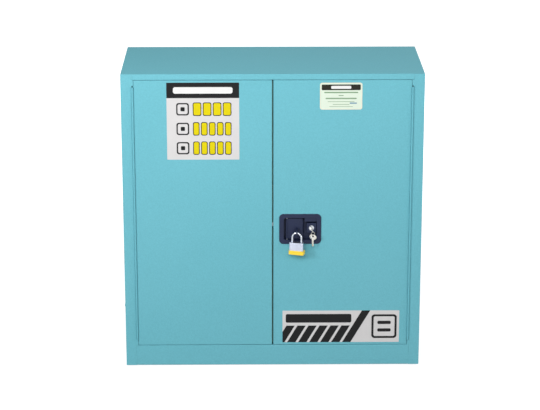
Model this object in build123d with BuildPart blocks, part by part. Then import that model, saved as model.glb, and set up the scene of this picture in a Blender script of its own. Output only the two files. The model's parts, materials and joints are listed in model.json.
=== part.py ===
import os
from math import cos, radians, sin

from build123d import *

os.makedirs("parts", exist_ok=True)

# Safety cabinet with two doors, in millimetres: X right, Y back, Z up.
# The origin is on the floor, under the middle of the carcass.

# Overall sizes
width = 1092
depth = 457
height = 1118

# Sheet metal
sheet = 1.2  # outer and inner walls
air_gap = 38  # air space between the two walls
bend = 2.0  # outside radius of a folded edge
joint_line = 0.4  # hairline between welded frame pieces
lid_skirt = 6  # how far the top panel folds down over the walls

# Front frame
rail_height = 21.5
sill_top = 82
jamb_depth = 46
sill_foot = 25  # depth of the sill's lower fold
sump_depth = 51  # how deep the leakproof sump lies below the sill
base_top = 16  # upper face of the base pan

# Doors
door_thick = 40
seam = 5  # gap between the two doors
seal_gap = 1.3  # from the seal strip to the right door
seal_front = 7  # depth of the strip's front edge behind the doors' faces
seal_depth = 18
seal_short = 6  # how far the strip ends from the doors' top and bottom
seal_clear = 4  # the strip ends this far from the centre bolt
door_gap_top = 1.2
door_gap_bottom = 1.5
stop_gap = 2  # from the closed door's inner face to the liner
rivet_radius = 3.2
rivet_height = 1.2
rivet_inset = 14  # from the door's edges
rivets_per_side = 9
stiffener_web = 50
stiffener_flange = 20
stiffener_short = 60  # how far a stiffener ends from the door's top and bottom
stiffener_places = {"left": 250, "right": 300}

# Continuous hinge
knuckle_radius = 3.5
hinge_pin_radius = 1.6
running_gap = 0.05
hinge_proud = 1.5  # how far the pin stands in front of the doors
hinge_above = 19  # from the door's bottom to the hinge
hinge_below = 24  # from the hinge to the door's top
knuckle_count = 19
knuckle_gap = 0.4
knuckle_clear = 0.4  # notch around the other leaf's knuckles
leaf_thick = 1.2
leaf_depth = 26
edge_line = 0.8  # gap between door edge and frame above the hinge
relief_radius = 3  # round notch above the hinge

# Feet
foot_show = 4  # how far the feet lift the carcass off the floor
foot_radius = 18
foot_pad = 6
foot_rod_radius = 5
foot_inset = 45  # from the carcass corner to the foot's axis
foot_rod_rise = 4  # how far the foot's screw stands above its nut
foot_nut_height = 8
foot_nut_flats = 19

# Shelf and its supports
shelf_top = 560
shelf_fold = 30
shelf_gap_side = 1.1
shelf_gap_front = 16
shelf_gap_back = 6
tray_wall = 3
tray_height = 25
tray_gap = 4
standard_thick = 8
standard_width = 20
standard_above = 28  # from the sill's top
standard_below = 18.8  # from the liner's top
standard_inset = 70  # from the liner's front and back edges
slot_pitch = 50
slot_height = 12
slot_width = 4
clip_reach = 17
clip_width = 16
clip_height = 8

# Vents
vent_radius = 30
vent_bore = 25.5
vent_y = 40
vent_low = 150
vent_below = 118  # from the carcass's top to the high vent
vent_proud = 10
vent_flange = 36
vent_flange_thick = 2
cap_wall = 3
cap_grip_length = 36
cap_grip_width = 8
cap_grip_height = 5
screen_thick = 2
screen_inset = 12  # how deep in the sleeve the screen sits

# Ground stud
stud_radius = 4
stud_length = 22
stud_y = 150
stud_z = 60
stud_head = 6.4
stud_head_thick = 3
nut_thick = 6
nut_flats = 13

# Latch pan
pan_x = 100.7
pan_z = 536.5
bezel_width = 154
bezel_height = 115
bezel_radius = 16
bezel_thick = 2.5
tub_width = 121
tub_height = 85
tub_radius = 9
tub_depth = 19
tub_wall = 1.5
cut_gap = 0.5
land_width = 44  # raised corner above the lock
land_height = 14
land_set_back = 1
arm_slot_before = 3.5  # slot in the pan, on each side of the paddle's arm
arm_slot_after = 14
lock_hole_gap = 1

# Paddle and padlock eye
paddle_thick = 3
paddle_left = 52.5  # the vertical pivot
paddle_right = 113.6
paddle_pivot_depth = 5
paddle_height = 77
paddle_barrel = 4
paddle_pin_radius = 2
paddle_fold = 9
paddle_fold_radius = 7
arm_thick = 2.4
arm_height = 9
arm_pin_radius = 2.4
eye_thick = 4
eye_hole = 5.5
eye_rim = 4
eye_root = 26  # height of the eye where it meets the paddle
eye_offset = 4.8  # from the middle of the paddle
shackle_gap = 0.9  # between the padlock's hanging shackle and the eye

# Latch works behind the pan
bolt_z = 548
bolt_height = 14
bolt_thick = 4
bolt_gap = 1  # from the pan's back to the bolt
bolt_reach = 7.5  # how far the bolt's tip lies past the middle of the seam
bolt_tail = 96
rotor_x = 82
rotor_arm = 18
rod_arm = 20
rotor_gap = 0.8  # from the bolt to the rotor
rotor_thick = 3
rotor_hub = 9
rotor_pin = 3
pin_play = 0.5
pivot_radius = 4
pivot_head = 5.5
pivot_head_thick = 1.5
pivot_end_gap = 0.2
rotor_rim = 1.5  # metal left round each pin
rotor_pin_proud = 1.2
rotor_turn = 31  # degrees the rotor turns when the paddle is pulled out
rod_radius = 4
rod_reach = 4.5  # how far a rod's tip lies past the frame's face
rod_fit = 0.1
yoke_gap = 0.7  # from the rotor to the rods' yokes
yoke_thick = 3
yoke_rim = 3
yoke_tail = 7  # how far a yoke reaches past the rotor's pin
yoke_reach = 18  # how far a yoke reaches along its rod
rod_start = 9  # from the rotor's pin to the end of the rod
rod_hole_gap = 1
rod_tip_round = 1.5
guide_width = 20
guide_length = 8
guide_rim = 3
guide_from_rotor = 150
guide_from_edge = 50
bolt_hole_gap = 1
bolt_guide_rim = 5
bolt_guide_inset = 14  # from the door's edge at the seam
bolt_guide_length = 10
keeper_thick = 4
keeper_rim = 12
keeper_back = 8  # how far the keeper reaches in front of the bolt

# Lock and keys
lock_x = 142
lock_z = 539.7
housing_width = 34.7
housing_height = 37
housing_set_back = 0.5
plug_radius = 8
plug_collar = 9.5
cam_length = 16
cam_width = 10
cam_thick = 3
cam_gap = 1  # from the pan's back to the cam
plug_proud = 0.5  # how far the plug stands out of its collar's seat
keyway_gap = 0.2
key_lean = 28  # degrees the key in the lock leans from upright
key_thick = 2
key_blade = 8
key_depth = 17
bow_reach = 15
bow_half_length = 10
bow_half_width = 14
bow_drop = 1  # the bow's middle lies this far below the blade's
blade_overlap = 6  # how far the blade runs into the bow
key_hole = 3.8
key_hole_drop = 9.5
ring_radius = 7.5
ring_wire = 0.6
ring_turn = 30  # degrees the ring is turned from the door's plane
ring_hang = 1.9  # drop of the wire from the middle of the hole
spare_turn = 25  # degrees the spare key hangs turned from the door's plane
spare_width = 28
spare_bow = 20
spare_length = 46
spare_hole_rim = 3.4
spare_shoulder = 0.62  # share of the bow that the shoulders take

# Padlock
lock_body_width = 53
lock_body_thick = 23
lock_body_height = 45.6
lock_body_top = 492.6
plate_count = 13
plate_groove = 0.7
groove_depth = 0.6
leg_hole_spare = 2  # how far the leg holes run past the legs
shackle_radius = 3.5
shackle_spacing = 34.3
shackle_top = 527.3
padlock_turn = 17  # degrees the padlock hangs turned from the door
padlock_proud = 22.2
toe_depth = 12
heel_depth = 30
leg_gap = 0.3
bumper_height = 15
bumper_wall = 1.9
bumper_gap = 0.1
bumper_drop = 1.4
bumper_hole = 7
body_corner = 4
keyway_length = 9
keyway_width = 1.6
keyway_depth = 12

# Decals
decal_thick = 0.3
film_corner = 2
decal_width = 261
decal_height = 286
decal_below = 151  # from the door's top to the film's middle
card_width = 152
card_height = 99
card_shift = -5.7  # from the door's middle
card_below = 59
card_radius = 8
band_width = 434
band_height = 125
band_shift = 2.3
band_above = 72  # from the door's bottom

# Spacers between the two walls
spacer_flange = 20
spacer_ys = (-60, 140)
spacer_xs = (-250, 250)

# Worked out from the sizes above
front = -depth / 2
back = depth / 2
half_sheet = sheet / 2
opening_half = width / 2 - sheet - air_gap
rail_bottom = height - rail_height
wall_top = height - lid_skirt
liner_inner = opening_half - sheet
liner_front = front + door_thick + stop_gap
liner_back = back - sheet - air_gap
liner_top = height - sheet - air_gap
sump_floor = sill_top - sump_depth
vent_high = height - vent_below
hinge_u = opening_half - knuckle_radius
hinge_y = front - hinge_proud
door_edge = hinge_u - knuckle_radius
door_bottom = sill_top + door_gap_bottom
door_top = rail_bottom - door_gap_top
door_height = door_top - door_bottom
door_mid = (seam / 2 + door_edge) / 2
hinge_bottom = door_bottom + hinge_above
hinge_top = door_top - hinge_below
decal_x, decal_z = -door_mid, door_top - decal_below
card_x, card_z = door_mid + card_shift, door_top - card_below
band_x, band_z = door_mid + band_shift, door_bottom + band_above
standard_bottom = sill_top + standard_above
standard_top = liner_top - standard_below
door_mid_z = (door_top + door_bottom) / 2
door_inner = front + door_thick
knuckle_pitch = (hinge_top - hinge_bottom) / knuckle_count
fold_radius = bend - half_sheet
sides = {"left": -1, "right": 1}
foot_x = width / 2 - foot_inset
foot_y = depth / 2 - foot_inset
shelf_half = liner_inner - standard_thick - shelf_gap_side
shelf_front = liner_front + shelf_gap_front
shelf_back = liner_back - sheet - shelf_gap_back
rotor_z = bolt_z - rotor_arm
bolt_front = tub_depth + tub_wall + bolt_gap
rotor_front = bolt_front + bolt_thick + rotor_gap
yoke_front = rotor_front + rotor_thick + yoke_gap
arm_length = bolt_front + bolt_thick / 2 - paddle_pivot_depth
bolt_y = front + bolt_front + bolt_thick / 2
rod_y = front + yoke_front + rod_radius
rod_hole = rod_radius + rod_hole_gap
top_rod_x = rotor_x + rod_arm
bottom_rod_x = rotor_x - rod_arm
padlock_y = front - padlock_proud
eye_z = shackle_top + eye_hole - shackle_radius - shackle_gap
eye_x = (paddle_left + paddle_right) / 2 + eye_offset
pan_back = front + tub_depth + tub_wall
lock_face = front - plug_proud
inner_face = door_inner - sheet
bolt_slot = bolt_thick / 2 + bolt_hole_gap
bolt_slot_z = bolt_height / 2 + bolt_hole_gap
key_root = Vector(lock_x, lock_face, lock_z)


def write(piece, name):
    # One file for each sub-part, named after it
    piece.part.label = name
    export_step(piece.part, f"parts/{name}.step")


def block(low, high, mode=Mode.ADD):
    # A box between two corners
    centre = [(a + b) / 2 for a, b in zip(low, high)]
    size = [abs(b - a) for a, b in zip(low, high)]
    with Locations(tuple(centre)):
        Box(*size, mode=mode)


def folded(points, plane, length, radius=fold_radius, thick=sheet):
    # A folded sheet, from the middle line of its section
    with BuildSketch(plane) as section:
        with BuildLine():
            FilletPolyline(*points, radius=radius)
        trace(line_width=thick)
    extrude(section.sketch, amount=length)


def drill(point, axis, radius, length, mode=Mode.SUBTRACT):
    # A round hole, or a round bar, that starts at the point and follows the axis
    with BuildSketch(Plane(origin=point, z_dir=axis)) as section:
        Circle(radius)
    extrude(section.sketch, amount=length, mode=mode)


def spread(low, high, count):
    # Evenly spaced places from low to high
    return [low + (high - low) * i / (count - 1) for i in range(count)]


# Side panels: outer wall, stile and jamb folded from one sheet
vents = {"left": vent_low, "right": vent_high}
for side, s in sides.items():
    outer = s * (width / 2 - half_sheet)
    with BuildPart() as side_panel:
        floor = Plane.XY.offset(foot_show)
        stile_y = front + half_sheet
        folded(
            [(outer, back), (outer, stile_y), (s * (opening_half + bend), stile_y)],
            floor,
            wall_top - foot_show,
        )
        folded(
            [
                (s * (opening_half + 2 * bend), stile_y),
                (s * (opening_half + half_sheet), stile_y),
                (s * (opening_half + half_sheet), front + jamb_depth),
            ],
            Plane.XY.offset(sill_top),
            rail_bottom - sill_top,
        )
        stile_end = s * (opening_half + bend)
        for low, high in ((foot_show, sill_top), (rail_bottom, wall_top)):
            block((s * opening_half, front, low), (stile_end, front + sheet, high))
        strip = s * (door_edge + edge_line)
        for low, high in (
            (sill_top, hinge_bottom - joint_line),
            (hinge_top + joint_line, rail_bottom),
        ):
            block((strip, front, low), (stile_end, front + sheet, high))
        drill(
            (s * hinge_u, front - sheet, hinge_top + relief_radius / 3),
            (0, 1, 0),
            relief_radius,
            3 * sheet,
        )
        drill((0, vent_y, vents[side]), (s, 0, 0), vent_radius, width)
        if side == "left":
            drill((0, stud_y, stud_z), (s, 0, 0), stud_radius, width)
    write(side_panel, f"side_panel_{side}")

# Top panel: a shallow lid whose front carries the rail
with BuildPart() as top_panel:
    block((-width / 2, front, wall_top), (width / 2, back, height))
    fillet(top_panel.edges().filter_by(Axis.Z), radius=bend)
    fillet(top_panel.faces().sort_by(Axis.Z)[-1].edges(), radius=bend)
    offset(amount=-sheet, openings=top_panel.faces().sort_by(Axis.Z)[0])
    rail_half = opening_half - joint_line
    folded(
        [
            (front + jamb_depth, rail_bottom + half_sheet),
            (front + half_sheet, rail_bottom + half_sheet),
            (front + half_sheet, wall_top + lid_skirt / 2),
        ],
        Plane.YZ.offset(-rail_half),
        2 * rail_half,
    )
    drill((top_rod_x, rod_y, rail_bottom - sheet), (0, 0, 1), rod_hole, 3 * sheet)
write(top_panel, "top_panel")

# Front sill below the doors
with BuildPart() as front_sill:
    folded(
        [
            (liner_front, sill_top - half_sheet),
            (front + half_sheet, sill_top - half_sheet),
            (front + half_sheet, foot_show + half_sheet),
            (front + sill_foot, foot_show + half_sheet),
        ],
        Plane.YZ.offset(-rail_half),
        2 * rail_half,
    )
    drill((bottom_rod_x, rod_y, sill_top + sheet), (0, 0, -1), rod_hole, 3 * sheet)
write(front_sill, "front_sill")

# Back panel, folded forward inside the side panels
with BuildPart() as back_panel:
    flange_x = width / 2 - sheet - half_sheet
    folded(
        [
            (-flange_x, back - sill_foot),
            (-flange_x, back - half_sheet),
            (flange_x, back - half_sheet),
            (flange_x, back - sill_foot),
        ],
        Plane.XY.offset(foot_show),
        wall_top - foot_show,
    )
write(back_panel, "back_panel")

# Base pan: the outer floor, with a weld nut over each foot
base_half = width / 2 - 2 * sheet
with BuildPart() as base_pan:
    block((-base_half, front + bend, foot_show + sheet), (base_half, back - sheet, base_top))
    fillet(base_pan.edges().filter_by(Axis.Z), radius=bend)
    offset(amount=-sheet, openings=base_pan.faces().sort_by(Axis.Z)[0])
    with BuildSketch(Plane.XY.offset(base_top)):
        with GridLocations(2 * foot_x, 2 * foot_y, 2, 2):
            RegularPolygon(foot_nut_flats / 2, 6, major_radius=False)
    extrude(amount=foot_nut_height)
    with BuildSketch(Plane.XY.offset(foot_show)):
        with GridLocations(2 * foot_x, 2 * foot_y, 2, 2):
            Circle(foot_rod_radius + running_gap)
    extrude(amount=base_top + foot_nut_height, mode=Mode.SUBTRACT)
write(base_pan, "base_pan")

# Liner: the inner walls
for side, s in sides.items():
    with BuildPart() as liner:
        block(
            (s * liner_inner, liner_front, sump_floor - sheet),
            (s * opening_half, liner_back, rail_bottom),
        )
        drill((0, vent_y, vents[side]), (s, 0, 0), vent_radius, width)
    write(liner, f"liner_{side}")

with BuildPart() as liner_rear:
    block(
        (-liner_inner, liner_back - sheet, sump_floor - sheet),
        (liner_inner, liner_back, liner_top),
    )
write(liner_rear, "liner_back")

with BuildPart() as liner_roof:
    folded(
        [
            (liner_back - sheet, liner_top - half_sheet),
            (front + jamb_depth - half_sheet, liner_top - half_sheet),
            (front + jamb_depth - half_sheet, rail_bottom),
        ],
        Plane.YZ.offset(-liner_inner),
        2 * liner_inner,
    )
write(liner_roof, "liner_top")

# Leakproof sump between the liners
with BuildPart() as sump:
    block(
        (-liner_inner, liner_front, sump_floor - sheet),
        (liner_inner, liner_back - sheet, sill_top),
    )
    offset(amount=-sheet, openings=sump.faces().sort_by(Axis.Z)[-1])
write(sump, "sump_tray")

# Spacers that hold the two walls apart, folded to a Z
wall_out = width / 2 - sheet
with BuildPart() as spacers:
    for s in (-1, 1):
        for y in spacer_ys:
            a, b = s * (wall_out - half_sheet), s * (opening_half + half_sheet)
            folded(
                [(a, y - spacer_flange), (a, y), (b, y), (b, y + spacer_flange)],
                Plane.XY.offset(standard_bottom),
                standard_top - standard_bottom,
            )
    for x in spacer_xs:
        a, b = back - sheet - half_sheet, liner_back + half_sheet
        folded(
            [(x - spacer_flange, a), (x, a), (x, b), (x + spacer_flange, b)],
            Plane.XY.offset(standard_bottom),
            standard_top - standard_bottom,
        )
        a, b = height - sheet - half_sheet, liner_top + half_sheet
        folded(
            [(x - spacer_flange, a), (x, a), (x, b), (x + spacer_flange, b)],
            Plane.XZ.offset(-liner_back),
            liner_back - front - jamb_depth - 2 * bend,
        )
        a, b = base_top + half_sheet, sump_floor - sheet - half_sheet
        folded(
            [(x - spacer_flange, a), (x, a), (x, b), (x + spacer_flange, b)],
            Plane.XZ.offset(-liner_back),
            liner_back - front - jamb_depth - 2 * bend,
        )
write(spacers, "wall_spacers")

# Slotted standards and the clips that carry the shelf
standard_ys = (liner_front + standard_inset, liner_back - standard_inset)
slot_count = int((standard_top - standard_bottom) / slot_pitch)
with BuildPart() as standards:
    for s in (-1, 1):
        for y in standard_ys:
            block(
                (s * (liner_inner - standard_thick), y - standard_width / 2, standard_bottom),
                (s * liner_inner, y + standard_width / 2, standard_top),
            )
    for y in standard_ys:
        middle = (standard_bottom + standard_top) / 2
        for z in spread(
            middle - slot_pitch * (slot_count - 1) / 2,
            middle + slot_pitch * (slot_count - 1) / 2,
            slot_count,
        ):
            block(
                (-liner_inner, y - slot_width / 2, z - slot_height / 2),
                (liner_inner, y + slot_width / 2, z + slot_height / 2),
                mode=Mode.SUBTRACT,
            )
write(standards, "shelf_standards")

clip_top = shelf_top - shelf_fold
with BuildPart() as clips:
    for s in (-1, 1):
        for y in standard_ys:
            block(
                (s * (liner_inner - standard_thick - clip_reach), y - clip_width / 2,
                 clip_top - clip_height),
                (s * (liner_inner - standard_thick), y + clip_width / 2, clip_top),
            )
write(clips, "shelf_clips")

# Shelf with folded edges, and the loose tray on it
with BuildPart() as shelf:
    block((-shelf_half, shelf_front, clip_top), (shelf_half, shelf_back, shelf_top))
    fillet(shelf.faces().sort_by(Axis.Z)[-1].edges(), radius=bend)
    offset(amount=-sheet, openings=shelf.faces().sort_by(Axis.Z)[0])
write(shelf, "shelf")

with BuildPart() as tray:
    block(
        (-shelf_half + tray_gap, shelf_front + tray_gap, shelf_top),
        (shelf_half - tray_gap, shelf_back - tray_gap, shelf_top + tray_height),
    )
    fillet(tray.edges().filter_by(Axis.Z), radius=3 * tray_wall)
    fillet(tray.faces().sort_by(Axis.Z)[0].edges(), radius=2 * tray_wall)
    offset(amount=-tray_wall, openings=tray.faces().sort_by(Axis.Z)[-1])
write(tray, "shelf_tray")

# Continuous hinges: knuckles take turns between the frame leaf and the door leaf
knuckles = [hinge_bottom + knuckle_pitch * i for i in range(knuckle_count)]


def hinge_leaf(s, plate_inner, plate_outer, own, other):
    # A leaf lies along the jamb or the door edge, notched where the other leaf's knuckles turn
    block(
        (s * plate_inner, hinge_y, hinge_bottom),
        (s * plate_outer, hinge_y + leaf_depth, hinge_top),
    )
    for z in other:
        drill(
            (s * hinge_u, hinge_y, z - knuckle_gap / 2),
            (0, 0, 1),
            knuckle_radius + knuckle_clear,
            knuckle_pitch + knuckle_gap,
        )
    for z in own:
        drill(
            (s * hinge_u, hinge_y, z + knuckle_gap / 2),
            (0, 0, 1),
            knuckle_radius,
            knuckle_pitch - knuckle_gap,
            mode=Mode.ADD,
        )
    drill(
        (s * hinge_u, hinge_y, hinge_bottom),
        (0, 0, 1),
        hinge_pin_radius + running_gap,
        hinge_top - hinge_bottom,
    )


for side, s in sides.items():
    with BuildPart() as frame_leaf:
        hinge_leaf(s, opening_half - leaf_thick, opening_half, knuckles[::2], knuckles[1::2])
    write(frame_leaf, f"frame_leaf_{side}")
    with BuildPart() as door_leaf:
        hinge_leaf(s, door_edge, door_edge + leaf_thick, knuckles[1::2], knuckles[::2])
    write(door_leaf, f"door_leaf_{side}")

with BuildPart() as hinge_pins:
    for s in (-1, 1):
        drill(
            (s * hinge_u, hinge_y, hinge_bottom),
            (0, 0, 1),
            hinge_pin_radius,
            hinge_top - hinge_bottom,
            mode=Mode.ADD,
        )
write(hinge_pins, "hinge_pins")

# Door skins: a front sheet folded back all round
for side, s in sides.items():
    with BuildPart() as skin:
        block(
            (s * seam / 2, front, door_bottom),
            (s * door_edge, door_inner, door_top),
        )
        fillet(skin.faces().sort_by(Axis.Y)[0].edges(), radius=bend)
        offset(amount=-sheet, openings=skin.faces().sort_by(Axis.Y)[-1])
        # slot for the centre bolt, through the edge at the seam
        block(
            (0, bolt_y - bolt_slot, bolt_z - bolt_slot_z),
            (s * (seam / 2 + 3 * sheet), bolt_y + bolt_slot, bolt_z + bolt_slot_z),
            mode=Mode.SUBTRACT,
        )
        if side == "right":
            with BuildSketch(Plane.XZ.offset(-front - 3 * sheet)):
                with Locations((pan_x, pan_z)):
                    RectangleRounded(
                        tub_width + 2 * (tub_wall + cut_gap),
                        tub_height + 2 * (tub_wall + cut_gap),
                        tub_radius + tub_wall,
                    )
            extrude(amount=6 * sheet, mode=Mode.SUBTRACT)
            drill((top_rod_x, rod_y, door_mid_z), (0, 0, 1), rod_hole, door_height)
            drill((bottom_rod_x, rod_y, door_mid_z), (0, 0, -1), rod_hole, door_height)
    write(skin, f"door_skin_{side}")

    # Inner panel, set between the skin's folds and riveted
    with BuildPart() as inner:
        block(
            (s * (seam / 2 + sheet), door_inner - sheet, door_bottom + sheet),
            (s * (door_edge - sheet), door_inner, door_top - sheet),
        )
        rivet_z = spread(door_bottom + rivet_inset, door_top - rivet_inset, rivets_per_side)
        rivet_x = (seam / 2 + rivet_inset, door_edge - rivet_inset)
        for x in rivet_x:
            for z in rivet_z:
                drill((s * x, door_inner, z), (0, 1, 0), rivet_radius, rivet_height, Mode.ADD)
        heads = inner.faces().filter_by(Plane.XZ).group_by(Axis.Y)[-1]
        chamfer(heads.edges(), length=rivet_height / 2)
    write(inner, f"door_inner_{side}")

    # Upright stiffener between skin and inner panel
    near, far = front + sheet + half_sheet, door_inner - sheet - half_sheet
    with BuildPart() as stiffener:
        x = s * stiffener_places[side]
        web = stiffener_web / 2
        edge = web + stiffener_flange
        folded(
            [(x - edge, far), (x - web, far), (x - web, near), (x + web, near), (x + web, far),
             (x + edge, far)],
            Plane.XY.offset(door_bottom + stiffener_short),
            door_height - 2 * stiffener_short,
        )
    write(stiffener, f"door_stiffener_{side}")

# Keeper behind the left door's edge, where the centre bolt shoots in
with BuildPart() as keeper:
    edge_in = -(seam / 2 + sheet)
    block(
        (edge_in - keeper_thick, bolt_y - bolt_thick / 2 - keeper_back,
         bolt_z - bolt_height / 2 - keeper_rim),
        (edge_in, inner_face, bolt_z + bolt_height / 2 + keeper_rim),
    )
    block(
        (edge_in - 2 * keeper_thick, bolt_y - bolt_slot, bolt_z - bolt_slot_z),
        (edge_in + keeper_thick, bolt_y + bolt_slot, bolt_z + bolt_slot_z),
        mode=Mode.SUBTRACT,
    )
write(keeper, "bolt_keeper")

# Seal strip in the seam, on the left door's edge, open at the bolt
with BuildPart() as seal:
    for low, high in (
        (door_bottom + seal_short, bolt_z - bolt_height / 2 - seal_clear),
        (bolt_z + bolt_height / 2 + seal_clear, door_top - seal_short),
    ):
        block(
            (-seam / 2, front + seal_front, low),
            (seam / 2 - seal_gap, front + seal_front + seal_depth, high),
        )
    fillet(seal.edges().filter_by(Axis.Z).group_by(Axis.X)[-1], radius=1)
write(seal, "seam_seal")


# Decals: thin films on the doors' faces
def film(x, z, w, h, radius):
    with BuildSketch(Plane.XZ.offset(-front)) as section:
        with Locations((x, z)):
            RectangleRounded(w, h, radius)
    extrude(section.sketch, amount=decal_thick)


with BuildPart() as decal:
    film(decal_x, decal_z, decal_width, decal_height, film_corner)
write(decal, "decal_panel")
with BuildPart() as card:
    film(card_x, card_z, card_width, card_height, card_radius)
write(card, "decal_card")
with BuildPart() as band:
    film(band_x, band_z, band_width, band_height, film_corner)
write(band, "decal_band")

# Latch pan: a bezel on the door's face and a tub behind it
with BuildPart() as pan:
    with BuildSketch(Plane.XZ.offset(-front)):
        with Locations((pan_x, pan_z)):
            RectangleRounded(bezel_width, bezel_height, bezel_radius)
    extrude(amount=bezel_thick)
    fillet(pan.faces().sort_by(Axis.Y)[0].edges(), radius=bezel_thick * 0.7)
    with BuildSketch(Plane.XZ.offset(-pan_back)):
        with Locations((pan_x, pan_z)):
            RectangleRounded(
                tub_width + 2 * tub_wall, tub_height + 2 * tub_wall, tub_radius + tub_wall
            )
    extrude(amount=tub_depth + tub_wall)
    with BuildSketch(Plane.XZ.offset(-pan_back + tub_wall)):
        with Locations((pan_x, pan_z)):
            RectangleRounded(tub_width, tub_height, tub_radius)
    extrude(amount=tub_depth + 2 * bezel_thick, mode=Mode.SUBTRACT)
    tub_right = pan_x + tub_width / 2
    tub_top = pan_z + tub_height / 2
    with BuildSketch(Plane.XZ.offset(-pan_back)) as land:
        with Locations((pan_x, pan_z)):
            RectangleRounded(tub_width + tub_wall, tub_height + tub_wall, tub_radius + tub_wall / 2)
        with Locations((tub_right - land_width / 2, tub_top - land_height / 2)):
            Rectangle(land_width + tub_wall, land_height + tub_wall, mode=Mode.INTERSECT)
    extrude(land.sketch, amount=tub_depth + tub_wall - land_set_back)
    # slot for the paddle's arm, and holes for the lock
    block(
        (paddle_left - arm_slot_before, pan_back - 3 * tub_wall, bolt_z - bolt_height / 2),
        (paddle_left + arm_slot_after, pan_back + tub_wall, bolt_z + bolt_height / 2),
        mode=Mode.SUBTRACT,
    )
    drill((lock_x, front, lock_z), (0, 1, 0), plug_radius + lock_hole_gap, 2 * tub_depth)
write(pan, "latch_pan")

# Lock housing, seated on the tub's back wall
with BuildPart() as housing:
    block(
        (lock_x - housing_width / 2, front + housing_set_back, lock_z - housing_height / 2),
        (lock_x + housing_width / 2, pan_back - tub_wall, lock_z + housing_height / 2),
    )
    fillet(housing.edges().filter_by(Axis.Y), radius=2)
    fillet(housing.faces().sort_by(Axis.Y)[0].outer_wire().edges(), radius=1)
    drill((lock_x, front, lock_z), (0, 1, 0), plug_radius + running_gap, 2 * tub_depth)
write(housing, "lock_housing")

# Paddle pin, from wall to wall of the tub
with BuildPart() as paddle_pin:
    drill(
        (paddle_left, front + paddle_pivot_depth, pan_z - tub_height / 2),
        (0, 0, 1),
        paddle_pin_radius,
        tub_height,
        mode=Mode.ADD,
    )
write(paddle_pin, "paddle_pin")

# Paddle: folded plate, pivot barrel, arm to the bolt, and the padlock eye
with BuildPart() as paddle:
    pivot_y = front + paddle_pivot_depth
    plate_y = pivot_y + paddle_thick / 2 - 1
    folded(
        [
            (paddle_left, plate_y),
            (paddle_right - paddle_thick / 2, plate_y),
            (paddle_right - paddle_thick / 2, plate_y + paddle_fold),
        ],
        Plane.XY.offset(pan_z - paddle_height / 2),
        paddle_height,
        radius=paddle_fold_radius,
        thick=paddle_thick,
    )
    drill(
        (paddle_left, pivot_y, pan_z - paddle_height / 2),
        (0, 0, 1),
        paddle_barrel,
        paddle_height,
        mode=Mode.ADD,
    )
    block(
        (paddle_left - arm_thick / 2, pivot_y, bolt_z - arm_height / 2),
        (paddle_left + arm_thick / 2, pivot_y + arm_length, bolt_z + arm_height / 2),
    )
    drill(
        (paddle_left, pivot_y + arm_length, bolt_z - arm_height / 2),
        (0, 0, 1),
        arm_pin_radius,
        arm_height,
        mode=Mode.ADD,
    )
    drill(
        (paddle_left, pivot_y, pan_z - paddle_height),
        (0, 0, 1),
        paddle_pin_radius + running_gap,
        2 * paddle_height,
    )
    eye_outer = eye_hole + eye_rim
    plate_face = plate_y - paddle_thick / 2
    with BuildSketch(Plane.YZ.offset(eye_x - eye_thick / 2)):
        with BuildLine():
            a = Line((plate_face, eye_z - eye_root / 2), (plate_face, eye_z + eye_root / 2))
            b = Line(a @ 1, (padlock_y, eye_z + eye_outer))
            c = ThreePointArc(
                b @ 1, (padlock_y - eye_outer, eye_z), (padlock_y, eye_z - eye_outer)
            )
            Line(c @ 1, a @ 0)
        make_face()
        with Locations((padlock_y, eye_z)):
            Circle(eye_hole, mode=Mode.SUBTRACT)
    extrude(amount=eye_thick)
write(paddle, "paddle")

# Rotor pivot on the back of the pan
with BuildPart() as pivot:
    rotor_back = front + rotor_front + rotor_thick
    drill(
        (rotor_x, pan_back, rotor_z), (0, 1, 0), pivot_radius, rotor_back - pan_back, Mode.ADD
    )
    drill((rotor_x, rotor_back, rotor_z), (0, 1, 0), pivot_radius, pivot_end_gap, mode=Mode.ADD)
    drill(
        (rotor_x, rotor_back + pivot_end_gap, rotor_z), (0, 1, 0), pivot_head, pivot_head_thick,
        mode=Mode.ADD,
    )
write(pivot, "rotor_pivot")

# Rotor: hub, three arms and their pins
with BuildPart() as rotor:
    with BuildSketch(Plane.XZ.offset(-(front + rotor_front + rotor_thick))):
        with Locations((rotor_x, rotor_z)):
            Circle(rotor_hub)
        for x, z in (
            (rotor_x, bolt_z),
            (top_rod_x, rotor_z),
            (bottom_rod_x, rotor_z),
        ):
            with Locations(((x + rotor_x) / 2, (z + rotor_z) / 2)):
                arm = 2 * (rotor_pin + rotor_rim)
                Rectangle(abs(x - rotor_x) + arm, abs(z - rotor_z) + arm)
        with Locations((rotor_x, rotor_z)):
            Circle(pivot_radius + running_gap, mode=Mode.SUBTRACT)
    extrude(amount=rotor_thick)
    drill(
        (rotor_x, front + rotor_front, bolt_z), (0, -1, 0), rotor_pin,
        rotor_front - bolt_front - pin_play, Mode.ADD,
    )
    for x in (top_rod_x, bottom_rod_x):
        drill((x, rotor_back, rotor_z), (0, 1, 0), rotor_pin, yoke_thick + rotor_pin_proud, Mode.ADD)
write(rotor, "latch_rotor")

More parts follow.
